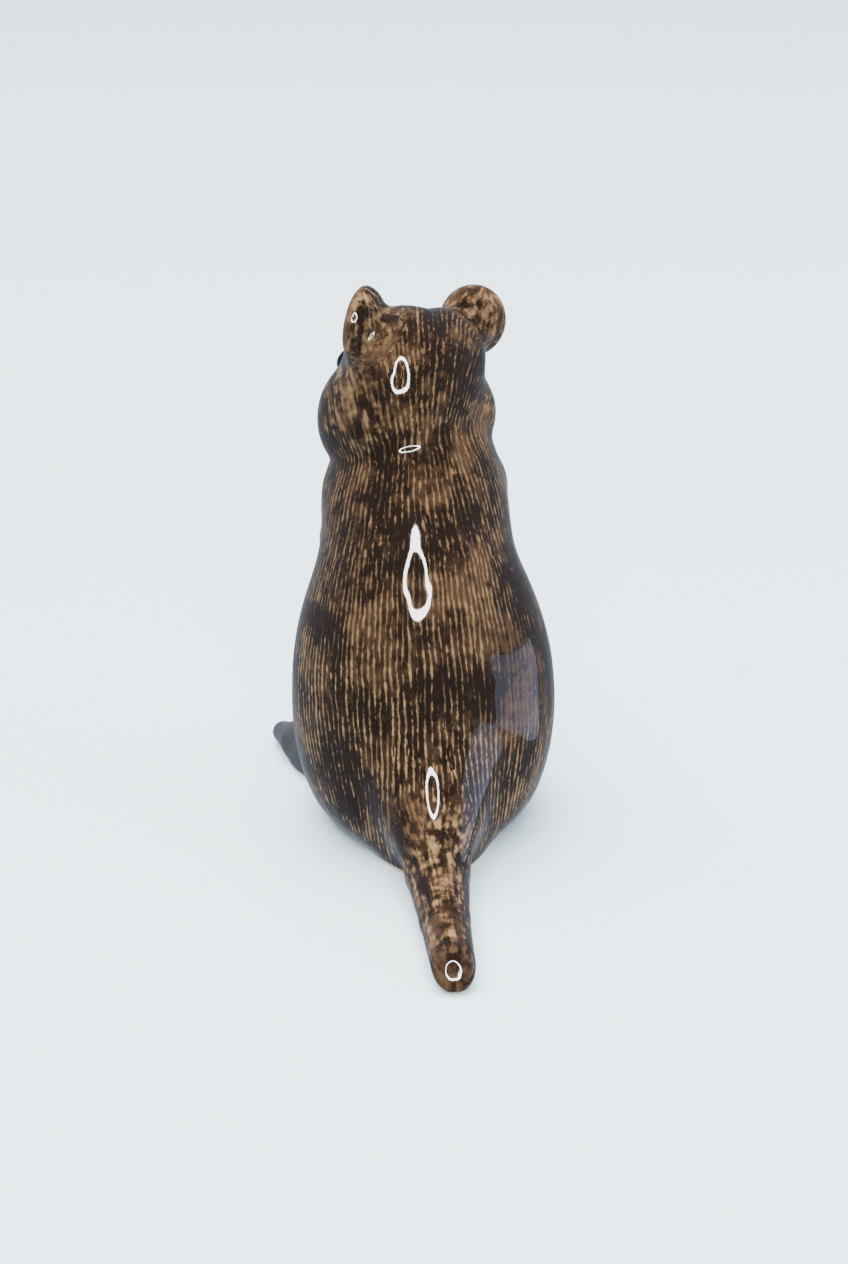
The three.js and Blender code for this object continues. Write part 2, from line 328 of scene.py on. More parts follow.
# %% [markdown]
# ## From forms to a mesh
# A grid is laid through the animal, and the distance is found at each of its points. Where the distance
# changes sign, a vertex goes into the cell, and four cells round a crossed edge share a quad. This is
# known as surface nets. It gives even quads, which take smooth shading and fine relief better than the
# thin triangles of a boolean. Most of the grid is far from the surface, so a coarse pass finds where
# the fine values are needed.

# %% Values on a grid
BLOCK = 4


def planes(low, high, step_at):
    places = [low]
    while places[-1] < high:
        places.append(places[-1] + step_at(places[-1]))
    return np.array(places[: len(places) - (len(places) - 1) % BLOCK])


def value_at(form, points, chunk=150_000):
    return np.concatenate([form(points[i : i + chunk]) for i in range(0, len(points), chunk)])


def grid_values(form, axes):
    """The distance at each grid point, exact near the surface and only signed elsewhere."""
    coarse_axes = [axis[::BLOCK] for axis in axes]
    coarse_points = np.stack(np.meshgrid(*coarse_axes, indexing="ij"), -1)
    coarse = value_at(form, coarse_points.reshape(-1, 3)).reshape(coarse_points.shape[:3])
    reach = BLOCK * max(np.diff(axis).max() for axis in axes)
    shifts = [(a, b, c) for a in (0, 1) for b in (0, 1) for c in (0, 1)]
    whole = [n - 1 for n in coarse.shape]
    nearest = np.min([np.abs(window(coarse, shift, whole)) for shift in shifts], axis=0)
    signs = np.array([window(coarse, shift, whole) < 0 for shift in shifts])
    close = (nearest < reach) | (signs.any(0) & ~signs.all(0))
    for axis in range(3):
        close = np.repeat(close, BLOCK, axis)
    values = coarse
    for axis in range(3):
        values = np.repeat(values, BLOCK, axis)
    values = window(values, (0, 0, 0), [len(axis) for axis in axes]).copy()
    near = np.zeros(values.shape, bool)
    for shift in shifts:
        window(near, shift, close.shape)[...] |= close
    i, j, k = np.nonzero(near)
    points = np.column_stack([axes[0][i], axes[1][j], axes[2][k]])
    values[i, j, k] = value_at(form, points)
    print("grid points:", values.size, "of which near the surface:", len(i))
    return values


def window(array, shift, size):
    a, b, c = shift
    return array[a : a + size[0], b : b + size[1], c : c + size[2]]


# %% Surface nets
def surface_net(form, axes):
    values = grid_values(form, axes)
    inside = values < 0
    shifts = [(a, b, c) for a in (0, 1) for b in (0, 1) for c in (0, 1)]
    cells_shape = [n - 1 for n in values.shape]
    count_inside = sum(window(inside, shift, cells_shape).astype(np.int8) for shift in shifts)
    i, j, k = np.nonzero((count_inside > 0) & (count_inside < 8))
    total, crossings = np.zeros((len(i), 3)), np.zeros(len(i))
    for start in shifts:
        for axis in range(3):
            if start[axis]:
                continue
            end = tuple(s + (n == axis) for n, s in enumerate(start))
            a = values[i + start[0], j + start[1], k + start[2]]
            b = values[i + end[0], j + end[1], k + end[2]]
            crossed = (a < 0) != (b < 0)
            share = np.where(crossed, a / np.where(crossed, a - b, 1), 0)
            low = np.column_stack([axes[0][i + start[0]], axes[1][j + start[1]], axes[2][k + start[2]]])
            high = np.column_stack([axes[0][i + end[0]], axes[1][j + end[1]], axes[2][k + end[2]]])
            total += (low + (high - low) * share[:, None]) * crossed[:, None]
            crossings += crossed
    points = total / crossings[:, None]
    number = np.full(cells_shape, -1)
    number[i, j, k] = np.arange(len(i))

    quads = []
    for axis in range(3):
        u, w = (axis + 1) % 3, (axis + 2) % 3
        size = list(values.shape)
        size[axis] -= 1
        ahead = [0, 0, 0]
        ahead[axis] = 1
        here, there = window(inside, (0, 0, 0), size), window(inside, ahead, size)
        edge = np.array(np.nonzero(here != there)).T
        outward = here[tuple(edge.T)]
        ring = []
        for du, dw in ((1, 1), (0, 1), (0, 0), (1, 0)):
            cell = edge.copy()
            cell[:, u] -= du
            cell[:, w] -= dw
            ring.append(number[tuple(cell.T)])
        quad = np.column_stack(ring)
        quad[~outward] = quad[~outward][:, ::-1]
        quads.append(quad)
    return points, np.concatenate(quads)


# %% Slope, settling and evening out
PROBE = 0.03
LEAST_STEEPNESS = 0.25
LONGEST_MOVE = 0.2


def slope_at(form, points, here):
    steps = np.eye(3) * PROBE
    return np.column_stack([(value_at(form, points + step) - here) / PROBE for step in steps])


def settle(form, points, rounds):
    """Moves each vertex onto the surface along the slope of the distance."""
    for _ in range(rounds):
        here = value_at(form, points)
        slope = slope_at(form, points, here)
        steep = np.maximum((slope * slope).sum(1), LEAST_STEEPNESS)
        points = points - slope * np.clip(here / steep, -LONGEST_MOVE, LONGEST_MOVE)[:, None]
    return points


def relax(points, quads, share):
    """Moves each vertex part of the way to the middle of its neighbours."""
    a = np.concatenate([quads[:, n] for n in range(4)] * 2)
    b = np.concatenate([quads[:, (n + 1) % 4] for n in range(4)] + [quads[:, n - 1] for n in range(4)])
    counts = np.bincount(a, minlength=len(points))
    middle = np.column_stack([np.bincount(a, points[b, n], len(points)) for n in range(3)])
    return points + (middle / counts[:, None] - points) * share


# %% The fine skin
FINE_STEP = 0.29
PLAIN_STEP = 0.37
MARGIN = 2.5
UNDER_TABLE = 14 * PART

low, high = np.array(cad_low) / METRE, np.array(cad_high) / METRE
axes = [
    planes(low[0] - MARGIN, high[0] + MARGIN, lambda x: PLAIN_STEP),
    planes(low[1] - MARGIN, high[1] + MARGIN, lambda y: FINE_STEP if y < -6 else PLAIN_STEP),
    planes(-UNDER_TABLE - MARGIN, high[2] + MARGIN, lambda z: FINE_STEP if z > 48 else PLAIN_STEP),
]
skin_points, skin_quads = surface_net(ANIMAL, axes)
for _ in range(2):
    skin_points = relax(settle(ANIMAL, skin_points, 1), skin_quads, 0.5)
skin_points = settle(ANIMAL, skin_points, 2)
print("skin:", len(skin_points), "vertices,", 2 * len(skin_quads), "triangles")

# %% [markdown]
# ## Which way the fur lies
# The drawn lines run from the nose over the head and down the back to the table. A post with a rounded
# top stands inside the animal. Each vertex notes its angle round that post and its distance along it,
# so lines are simply stripes of equal angle. The ears and forelegs have a bent line each instead, and a
# vertex looks up the nearest stretch of it, softly. The tail has its own bent line and its own numbers,
# because they would fold if they were mixed with those of the back.

# %% The post
POST_Y, POST_TOP = -4.5, 48.0
POST_LEAN = 0.012


def round_post(points):
    """Angle round the post, length up it and over its top, and distance from it, for each point."""
    across = points[:, 0] - POST_LEAN * points[:, 2]
    behind = points[:, 1] - POST_Y
    above = np.maximum(points[:, 2] - POST_TOP, 0)
    out = np.where(above > 0, np.hypot(behind, above), behind)
    over_top = np.arctan2(above, behind) * np.hypot(behind, above)
    return np.arctan2(across, out), np.minimum(points[:, 2], POST_TOP) + over_top, np.hypot(across, out)


# %% Bent lines
TAIL_SPINE = [
    (at(0, 12, 12), (0, 0, 1)),
    (at(-0.6, 29, 5), (0, 0, 1)),
    (at(-1.1, 42, 3.8), (0, 0, 1)),
    (TAIL_END, (0, 0, 1)),
]


def spine_samples(stations, gap=1.5):
    """Points, upward directions and lengths along a smooth line through the stations."""
    places = np.array([place for place, _ in stations])
    ups = np.array([unit(up) for _, up in stations])
    run = np.concatenate([[0], np.cumsum(np.linalg.norm(np.diff(places, axis=0), axis=1))])
    length = np.arange(0, run[-1], gap)
    line = np.column_stack([np.interp(length, run, places[:, n]) for n in range(3)])
    up = np.column_stack([np.interp(length, run, ups[:, n]) for n in range(3)])
    tangent = np.gradient(line, axis=0)
    return line, up, tangent, length


def lie_of_fur(points, stations, spread):
    """Angle round the spine, length along it and distance from it, for each point."""
    line, up, tangent, length = spine_samples(stations)
    far = (points**2).sum(1)[:, None] + (line**2).sum(1) - 2 * points @ line.T
    weight = np.exp(-(far - far.min(1, keepdims=True)) / (2 * spread**2))
    weight /= weight.sum(1, keepdims=True)
    along, above = weight @ tangent, weight @ up
    along /= np.linalg.norm(along, axis=1, keepdims=True)
    above -= along * (above * along).sum(1, keepdims=True)
    above /= np.linalg.norm(above, axis=1, keepdims=True)
    side = np.cross(along, above)
    gap = points - weight @ line
    height, width = (gap * above).sum(1), (gap * side).sum(1)
    return np.arctan2(width, height), weight @ length, np.hypot(width, height)


# %% Strength of each region
def ramp(value, low, high):
    """0 up to low, 1 from high, smooth between."""
    share = np.clip((value - low) / (high - low), 0, 1)
    return share * share * (3 - 2 * share)


def in_head(points):
    return (points - HEAD_PIVOT) @ HEAD_TURN + HEAD_PIVOT


def mirrored(points):
    return np.column_stack([np.abs(points[:, 0]), points[:, 1], points[:, 2]])


def ear_share(points):
    local = mirrored(in_head(points)) - EAR_MIDDLE
    near = 1 - ramp(np.linalg.norm(local, axis=1), 0.60 * EAR_HEIGHT, 0.75 * EAR_HEIGHT)
    return near * ramp(local @ EAR_UP, -0.5 * EAR_HEIGHT, -0.2 * EAR_HEIGHT)


def leg_share(points):
    closer = value_at(BODY, points) - value_at(FORELEGS, points)
    return ramp(closer, -0.2, 1.2)


def tail_share(points):
    return ramp(points[:, 1], 16.6, 19.4) * (1 - ramp(points[:, 2], 11, 13))


def fur_way(points):
    """The pattern's own coordinates: the angle round the spine as a cosine and a sine, the length
    along it, and the distance from it."""
    head_points = mirrored(in_head(points))
    leg_points = mirrored((points - FORELEG_PIVOT) @ FORELEG_TURN + FORELEG_PIVOT)
    ear_line = [(EAR_MIDDLE - EAR_UP * 6, -EAR_OUT), (EAR_MIDDLE + EAR_UP * 6, -EAR_OUT)]
    leg_line = [(SHOULDER, (1, 0, 0)), (ELBOW, (1, 0, 0)), (WRIST, (1, -0.4, 0.4))]
    fields = [
        (np.ones(len(points)), round_post(points)),
        (ear_share(points), lie_of_fur(head_points, ear_line, 2)),
        (leg_share(points), lie_of_fur(leg_points, leg_line, 2)),
    ]
    way, girth = np.zeros((len(points), 3)), np.zeros(len(points))
    for share, (angle, length, distance) in fields:
        field = np.column_stack([np.cos(angle), np.sin(angle), length])
        way += (field - way) * share[:, None]
        girth += (distance - girth) * share
    return way, girth


def tail_way(points):
    """The same along the tail."""
    angle, length, distance = lie_of_fur(points, TAIL_SPINE, 3)
    return np.column_stack([np.cos(angle), np.sin(angle), length]), distance


# %% [markdown]
# ## Low relief
# Under the glaze the fur is pressed in shallow locks. The lines themselves are too fine for this mesh,
# so they come later as colour and bump. The locks are real displacement, about a hundredth of a
# millimetre, just enough to make the reflections waver.

# %% Press the locks of fur into the skin
LOCK_HEIGHT = 0.007
LOCKS_ROUND = 36


def lock_height(points):
    """Waves round the body, from -1 to 1, which fade out on the feet, the tail and the thin parts."""
    way, girth = fur_way(points)
    angle, length = np.arctan2(way[:, 1], way[:, 0]), way[:, 2]
    waver = 1.3 * np.sin(0.9 * length + 2.4 * np.sin(3 * angle)) + np.sin(0.37 * length + 5 * angle)
    off_feet = 1 - ramp(-value_at(HIND_FEET, points), -0.6, 0)
    room = ramp(girth, 3, 9) * off_feet * (1 - tail_share(points))
    return np.sin(LOCKS_ROUND * angle + waver) * room


here = value_at(ANIMAL, skin_points)
skin_normals = slope_at(ANIMAL, skin_points, here)
skin_normals /= np.linalg.norm(skin_normals, axis=1, keepdims=True)
locks = lock_height(skin_points)
skin_points = skin_points + skin_normals * (LOCK_HEIGHT * (locks - 1))[:, None]
print("lock relief, mm:", (LOCK_HEIGHT * np.ptp(locks)).round(3))

# %% [markdown]
# ## Handing the skin to Blender
# The underside of a casting is ground flat so that it stands. The mesh is cut at the table with a
# bisect, and the cut is filled, which keeps a crisp rim that a modifier would round. Corners that lie
# closer than the weld reach are joined first, because surface nets can pinch the mesh in a tight fold.

# %% Build the mesh and cut it flat
WELD_REACH = 0.002
CUT_REACH = 0.0001

skin_mesh = bpy.data.meshes.new("quokka_skin")
skin_mesh.from_pydata((skin_points * METRE).tolist(), [], skin_quads.tolist())
skin = bpy.data.objects.new("quokka_skin", skin_mesh)
bpy.context.scene.collection.objects.link(skin)

cutter = bmesh.new()
cutter.from_mesh(skin_mesh)
everything = cutter.verts[:] + cutter.edges[:] + cutter.faces[:]
table = {"plane_co": (0, 0, 0), "plane_no": (0, 0, -1)}
bmesh.ops.bisect_plane(cutter, geom=everything, dist=CUT_REACH * METRE, clear_outer=True, **table)
bmesh.ops.remove_doubles(cutter, verts=cutter.verts[:], dist=WELD_REACH * METRE)
rim = [edge for edge in cutter.edges if edge.is_boundary]
bmesh.ops.triangle_fill(cutter, edges=rim, use_beauty=True, normal=(0, 0, -1))
for face in cutter.faces:
    face.smooth = True
for edge in rim:
    edge.smooth = False
loose = [edge for edge in cutter.edges if not edge.is_manifold]
print("edges that do not join two faces:", len(loose))
cutter.to_mesh(skin_mesh)
cutter.free()

skin_triangles = sum(len(face.vertices) - 2 for face in skin_mesh.polygons)
print("finished skin:", skin_triangles, "triangles")

# %% [markdown]
# ## Where each paint goes
# A painter works from regions, so each region is a number per vertex: 1 where the paint is full and 0
# where there is none. Materials read these as attributes, which need no UV map and stay with the mesh.

# %% Keep a region on the mesh
def store(name, values):
    values = np.asarray(values, float)
    kind = "FLOAT" if values.ndim == 1 else "FLOAT_VECTOR"
    attribute = skin_mesh.attributes.new(name, kind, "POINT")
    attribute.data.foreach_set("value" if values.ndim == 1 else "vector", values.ravel())
    print(name, "from", values.min().round(2), "to", values.max().round(2))


points = np.empty(3 * len(skin_mesh.vertices))
skin_mesh.vertices.foreach_get("co", points)
points = points.reshape(-1, 3) / METRE
x, y, z = points.T
local = in_head(points)
half = mirrored(local)

# %% The numbers for the fur lines
way, girth = fur_way(points)
store("fur_way", way)
store("fur_girth", girth)
way, girth = tail_way(points)
store("tail_way", way)
store("tail_girth", girth)
store("tail", ramp(y, 15, 18) * (1 - ramp(z, 11, 14)))

# %% Eyes, nose, mouth and feet
MOUTH = [(0, 76.5), (0, 72.6), (2.8, 71.2), (5.6, 72.2), (8.2, 75.4)]
EYE_EDGE = (0.02, 0.22)
NOSE_EDGE = (0.05, 0.3)
MOUTH_EDGE = (0.12, 0.3)
FOOT_EDGE = (0.2, 1.6)

eye_paint = 1 - ramp(np.linalg.norm(half - EYE, axis=1) - EYE_RADIUS, *EYE_EDGE)
nose_paint = 1 - ramp(ellipsoid(NOSE, NOSE_RADII)(local), *NOSE_EDGE)
mouth_line = [np.array(place) * PART for place in MOUTH]
front_view = half[:, [0, 2]]
to_mouth = np.min([limb(a, b, 0, 0)(front_view) for a, b in zip(mouth_line, mouth_line[1:])], axis=0)
mouth_paint = (1 - ramp(to_mouth, *MOUTH_EDGE)) * ramp(-local[:, 1], 9, 10.5)
store("ink", np.maximum.reduce([eye_paint, nose_paint, 0.85 * mouth_paint]))
store("charcoal", 1 - ramp(value_at(HIND_FEET, points), *FOOT_EDGE))

# %% Pale belly and cheeks, pink inside the ears, bare rim
belly_side = ramp(-y, 2, 9) * ramp(z, 4, 14) * (1 - ramp(z, 40, 46))
cheek_side = ramp(-local[:, 1], 8, 13) * (1 - ramp(local[:, 2], 49, 53))
store("pale", np.maximum(belly_side, cheek_side))
store("ear_hollow", ramp((half - EAR_MIDDLE) @ EAR_OUT, -1.0, 0.4) * ear_share(points))
store("bare", 1 - ramp(z, 0.25, 0.55))

# %% Where dabs take the place of lines
tail_and_root = ramp(y, 15.5, 18.5) * (1 - ramp(z, 11, 14))
head_side = ramp(z, 45, 52) * ramp(np.abs(local[:, 0] - 0.6), 4.5, 8)
muzzle = 1 - ramp(np.linalg.norm(local - at(0, -21, 75), axis=1), 9 * PART, 14 * PART)
paws = leg_share(points) * ramp(-y, 13, 15)
dabbed = [0.9 * tail_and_root, 0.85 * ear_share(points), 0.85 * head_side, 0.8 * muzzle, 0.85 * paws]
store("unlined", np.maximum.reduce(dabbed))


# %% Where the strokes are darker
def blotch(place, radius):
    return 1 - ramp(np.linalg.norm(points - place, axis=1), 0.4 * radius, radius)


upper_back = 0.55 * ramp(z, 20, 34) * (1 - ramp(z, 60, 66))
right_flank = blotch((-12, 9, 23), 11)
root_side = 0.9 * blotch((4, 17.5, 9), 5)
tail_end = ramp(y, TAIL_REACH - 3.6, TAIL_REACH - 2.4)
store("deep", np.maximum.reduce([upper_back, right_flank, root_side, tail_end]))

# %% [markdown]
# ## The painted fur
# The lines come from one shader node group. It turns the angle round the spine into stripes, lets them
# waver and break off with noise stretched along the fur, and gives back masks that the material
# colours. The number of stripes follows the distance from the spine, so that the lines keep their width
# from the broad back to the thin tail, and the places where the number changes are made ragged.

# %% Helpers for shader nodes
def new_group(name, inputs, outputs):
    group = bpy.data.node_groups.new(name, "ShaderNodeTree")
    for title, kind, default in inputs:
        socket = group.interface.new_socket(title, in_out="INPUT", socket_type=kind)
        if default is not None:
            socket.default_value = default
    for title, kind in outputs:
        group.interface.new_socket(title, in_out="OUTPUT", socket_type=kind)
    return group


class Nodes:
    """Adds nodes to a tree, taking values or other nodes' outputs for their sockets."""

    def __init__(self, tree):
        self.tree = tree

    def add(self, kind, inputs=(), **settings):
        node = self.tree.nodes.new(kind)
        for name, value in settings.items():
            setattr(node, name, value)
        for name, value in dict(inputs).items():
            if isinstance(value, bpy.types.NodeSocket):
                self.tree.links.new(value, node.inputs[name])
            else:
                node.inputs[name].default_value = value
        return node

    def math(self, operation, a, b=0.0, c=0.0):
        return self.add("ShaderNodeMath", {0: a, 1: b, 2: c}, operation=operation).outputs[0]

    def vector(self, operation, a, b):
        return self.add("ShaderNodeVectorMath", {0: a, 1: b}, operation=operation).outputs[0]

    def remap(self, value, low, high, to_low=0.0, to_high=1.0):
        ends = {"Value": value, "From Min": low, "From Max": high, "To Min": to_low, "To Max": to_high}
        return self.add("ShaderNodeMapRange", ends, interpolation_type="SMOOTHSTEP").outputs[0]

    def noise(self, place, scale, detail=2.0, roughness=0.5):
        ends = {"Vector": place, "Scale": scale, "Detail": detail, "Roughness": roughness}
        return self.add("ShaderNodeTexNoise", ends).outputs[0]

    def swing(self, noise, strength, base=0.0):
        """A base that a noise of 0 to 1 raises and lowers."""
        return self.math("MULTIPLY_ADD", self.math("SUBTRACT", noise, 0.5), strength, base)

    def mix(self, share, a, b):
        """Two colours mixed. The colour sockets of this node are 6 and 7, and its colour comes out at 2."""
        return self.add("ShaderNodeMix", {0: share, 6: a, 7: b}, data_type="RGBA").outputs[2]


# %% Shader group: fur lines
GIRTH_BASE = 1.5
GIRTH_RATIO = 1.5
LINE_GAP = 0.66
SEAM_RAGGEDNESS = 1.6
BEND_STRENGTH = 9.0
WIGGLE_STRENGTH = 2.4
BREAK_STRENGTH = 4.2
NICK_STRENGTH = 2.4


def build_fur_lines():
    group = new_group(
        "fur_lines",
        [("Way", "NodeSocketVector", None), ("Girth", "NodeSocketFloat", 10.0),
         ("Waver", "NodeSocketFloat", 1.0), ("Break", "NodeSocketFloat", 1.0)],
        [("Lines", "NodeSocketFloat"), ("Locks", "NodeSocketFloat"), ("Streaks", "NodeSocketFloat")],
    )
    n = Nodes(group)
    inputs = n.add("NodeGroupInput").outputs
    way, girth = inputs["Way"], n.math("MAXIMUM", inputs["Girth"], GIRTH_BASE)
    axes = n.add("ShaderNodeSeparateXYZ", {0: way}).outputs
    angle = n.math("ARCTAN2", axes[1], axes[0])
    around = n.add("ShaderNodeCombineXYZ", {
        0: n.math("MULTIPLY", axes[0], girth), 1: n.math("MULTIPLY", axes[1], girth), 2: axes[2]
    }).outputs[0]

    def streaks(across, along, detail=2.0, roughness=0.5):
        return n.noise(n.vector("MULTIPLY", around, (across, across, along)), 1.0, detail, roughness)

    steps = n.math("LOGARITHM", n.math("DIVIDE", girth, GIRTH_BASE), GIRTH_RATIO)
    rank = n.math("ROUND", n.swing(streaks(0.9, 0.16), SEAM_RAGGEDNESS, steps))
    size = n.math("MULTIPLY", n.math("POWER", GIRTH_RATIO, rank), 2 * math.pi * GIRTH_BASE / LINE_GAP)
    wiggle = n.swing(streaks(1.1, 0.8), WIGGLE_STRENGTH)
    waver = n.math("MULTIPLY", n.swing(streaks(0.30, 0.14), BEND_STRENGTH, wiggle), inputs["Waver"])
    stripe = n.math("SINE", n.math("MULTIPLY_ADD", angle, n.math("ROUND", size), waver))
    nicked = n.swing(streaks(2.4, 1.3, 2.0, 0.6), NICK_STRENGTH)
    broken = n.swing(streaks(1.5, 0.20, 3.0, 0.6), BREAK_STRENGTH, nicked)
    out = n.add("NodeGroupOutput")
    group.links.new(n.math("MULTIPLY_ADD", broken, inputs["Break"], stripe), out.inputs["Lines"])
    group.links.new(streaks(0.5, 0.12, 3.0, 0.6), out.inputs["Locks"])
    group.links.new(streaks(1.1, 0.10, 3.0, 0.6), out.inputs["Streaks"])
    return group


FUR_LINES = build_fur_lines()
print("fur group sockets:", [item.name for item in FUR_LINES.interface.items_tree])


# %% [markdown]
# ## The glazed finish
# The colour sits under the glaze, so the Principled shader carries it twice: a dull, bumped base for
# the painted clay, and a smooth clear coat for the glaze. The lines bump only the base. The coat keeps
# the form's own smooth normal, which is what makes wet, unbroken highlights.

# %% Paint colours
def srgb(red, green, blue):
    """A colour as a screen shows it, 0 to 255, as the linear colour that the shader wants."""
    channel = [c / 255 for c in (red, green, blue)]
    linear = [c / 12.92 if c <= 0.04045 else ((c + 0.055) / 1.055) ** 2.4 for c in channel]
    return (*linear, 1.0)


BLACK_BROWN = srgb(26, 19, 15)
UMBER = srgb(60, 43, 30)
TAN = srgb(88, 68, 48)
GOLD = srgb(132, 104, 72)
INK = srgb(6, 5, 6)
CHARCOAL = srgb(54, 54, 56)
BUFF = srgb(134, 112, 88)
EAR_PINK = srgb(96, 70, 58)
CREAM = srgb(206, 190, 160)
print("darkest and lightest paint:", BLACK_BROWN[0], CREAM[0])

# %% How unevenly the paint lies
PATCHES_PER_METRE = 150.0
SPECKS_PER_METRE = 900.0
LINE_THINNING = 0.15
DEEP_SHARE, PALE_SHARE, PINK_SHARE = 0.85, 0.8, 0.7


def attribute(n, name, output="Fac"):
    return n.add("ShaderNodeAttribute", attribute_name=name).outputs[output]


def fur(n, way, girth):
    ends = {"Way": attribute(n, way, "Vector"), "Girth": attribute(n, girth)}
    return n.add("ShaderNodeGroup", ends, node_tree=FUR_LINES).outputs


def brush_marks(n):
    """Three masks: the wash under the strokes, the specks in them, and the edge of each stroke."""
    back, tail_fur = fur(n, "fur_way", "fur_girth"), fur(n, "tail_way", "tail_girth")
    on_tail = attribute(n, "tail")
    lines, locks, streaks = [
        n.math("MULTIPLY_ADD", on_tail, n.math("SUBTRACT", tail_fur[name], back[name]), back[name])
        for name in ("Lines", "Locks", "Streaks")
    ]
    place = n.add("ShaderNodeTexCoord").outputs["Object"]
    patches = n.noise(place, PATCHES_PER_METRE, 2.0, 0.5)
    specks = n.noise(place, SPECKS_PER_METRE, 2.0, 0.6)
    wash = n.swing(patches, 1.2, n.swing(specks, 0.7, locks))
    line = n.swing(patches, 2.2, n.math("SUBTRACT", lines, LINE_THINNING))
    dab = n.swing(streaks, 5.0, n.swing(specks, 1.3, 0.5))
    unlined = attribute(n, "unlined")
    lined = n.math("MULTIPLY", line, n.math("SUBTRACT", 1.0, unlined))
    return wash, specks, n.math("MULTIPLY_ADD", dab, unlined, lined)


# %% Layers of paint
def paint(n):
    """The colour of the painted clay, and how thickly the strokes are drawn."""
    wash, specks, edge = brush_marks(n)
    ground = n.mix(n.remap(wash, 0.40, 0.80), BLACK_BROWN, UMBER)
    stroke = n.mix(n.remap(specks, 0.35, 0.7), TAN, GOLD)
    stroke = n.mix(n.math("MULTIPLY", attribute(n, "deep"), DEEP_SHARE), stroke, UMBER)
    drawn = n.math("MULTIPLY", n.remap(edge, 0.2, 1.05), n.remap(wash, 0.1, 0.6, 0.35, 1.0))
    colour = n.mix(drawn, ground, stroke)
    pale_colour = n.mix(n.remap(edge, -1.0, 1.2), TAN, BUFF)
    colour = n.mix(n.math("MULTIPLY", attribute(n, "pale"), PALE_SHARE), colour, pale_colour)
    colour = n.mix(n.math("MULTIPLY", attribute(n, "ear_hollow"), PINK_SHARE), colour, EAR_PINK)
    for region, flat_colour in (("charcoal", CHARCOAL), ("ink", INK), ("bare", CREAM)):
        colour = n.mix(attribute(n, region), colour, flat_colour)
    return colour, drawn


# %% Material: glazed porcelain
LINE_RELIEF = 0.00004
PORCELAIN = {"Roughness": 0.45, "Specular IOR Level": 0.0}
GLAZE = {"Coat Roughness": 0.035, "Coat IOR": 1.36}


def glazed_porcelain():
    material = bpy.data.materials.new("glazed_porcelain")
    material.use_nodes = True
    tree = material.node_tree
    tree.nodes.clear()
    n = Nodes(tree)
    colour, drawn = paint(n)
    bare = attribute(n, "bare")
    flat = n.math("MAXIMUM", n.math("MAXIMUM", attribute(n, "ink"), attribute(n, "charcoal")), bare)
    height = n.math("MULTIPLY", drawn, n.math("SUBTRACT", 1.0, flat))
    bump = n.add("ShaderNodeBump", {"Strength": 0.5, "Distance": LINE_RELIEF, "Height": height})
    shader = n.add("ShaderNodeBsdfPrincipled", {
        "Base Color": colour,
        "Normal": bump.outputs[0],
        "Coat Weight": n.math("SUBTRACT", 1.0, bare),
        **PORCELAIN,
        **GLAZE,
    })
    output = n.add("ShaderNodeOutputMaterial")
    tree.links.new(shader.outputs[0], output.inputs["Surface"])
    return material


skin_mesh.materials.append(glazed_porcelain())
print("paint regions and glaze on", skin.name)

# %% Tie the skin to the solid
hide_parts("quokka_figurine")
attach(skin, "root")

# %% [markdown]
# ## Studio
# A pale floor runs far past the picture's edge. A ring of light sits round the lens, as in a close-up
# studio: it draws the small bright rings on the back, the head and the tail. Large soft lights above
# and to the side do the rest. The floor isn't mirrored in the glaze, because its edge would show as a hard
# line across the lower back.

# %% Plain and glowing materials
def plain_material(name, colour, roughness):
    material = bpy.data.materials.new(name)
    material.use_nodes = True
    shader = material.node_tree.nodes["Principled BSDF"]
    shader.inputs["Base Color"].default_value = colour
    shader.inputs["Roughness"].default_value = roughness
    shader.inputs["Specular IOR Level"].default_value = 0.2
    return material


def glow(name, colour, strength):
    material = bpy.data.materials.new(name)
    material.use_nodes = True
    tree = material.node_tree
    tree.nodes.clear()
    n = Nodes(tree)
    light = n.add("ShaderNodeEmission", {"Color": colour, "Strength": strength})
    output = n.add("ShaderNodeOutputMaterial")
    tree.links.new(light.outputs[0], output.inputs["Surface"])
    return material


# %% Floor
FLOOR_REACH = 6.0
FLOOR_COLOUR = (0.76, 0.93, 1.0, 1)

floor_mesh = bpy.data.meshes.new("studio_floor")
corners = [(FLOOR_REACH * x, FLOOR_REACH * y, 0) for x, y in ((-1, -1), (1, -1), (1, 1), (-1, 1))]
floor_mesh.from_pydata(corners, [], [(0, 1, 2, 3)])
floor_mesh.materials.append(plain_material("studio_floor", FLOOR_COLOUR, 0.6))
floor = bpy.data.objects.new("studio_floor", floor_mesh)
floor.visible_glossy = False
bpy.context.scene.collection.objects.link(floor)
print("floor reaches, m:", FLOOR_REACH)

# %% Camera
CAMERA_PLACE = np.array([8.418, 226.428, 117.682])
CAMERA_RIGHT = np.array([-0.99870432, 0.04650829, -0.02065569])
CAMERA_UP = np.array([-0.03667795, -0.37648119, 0.92569792])
CAMERA_AHEAD = np.array([-0.03527615, -0.92525612, -0.37769922])
LENS, SENSOR = 59.64, 36
CLIP = (0.01, 50)

camera_data = bpy.data.cameras.new("studio_camera")
camera_data.lens, camera_data.sensor_width = LENS, SENSOR
camera_data.clip_start, camera_data.clip_end = CLIP
camera = bpy.data.objects.new("studio_camera", camera_data)
axes_matrix = Matrix(np.column_stack([CAMERA_RIGHT, CAMERA_UP, -CAMERA_AHEAD]).tolist())
camera.matrix_world = Matrix.Translation(Vector(CAMERA_PLACE * METRE)) @ axes_matrix.to_4x4()
bpy.context.scene.collection.objects.link(camera)
bpy.context.scene.camera = camera
print("camera stands mm away:", np.linalg.norm(CAMERA_PLACE - at(0, 0, 45)).round(0))

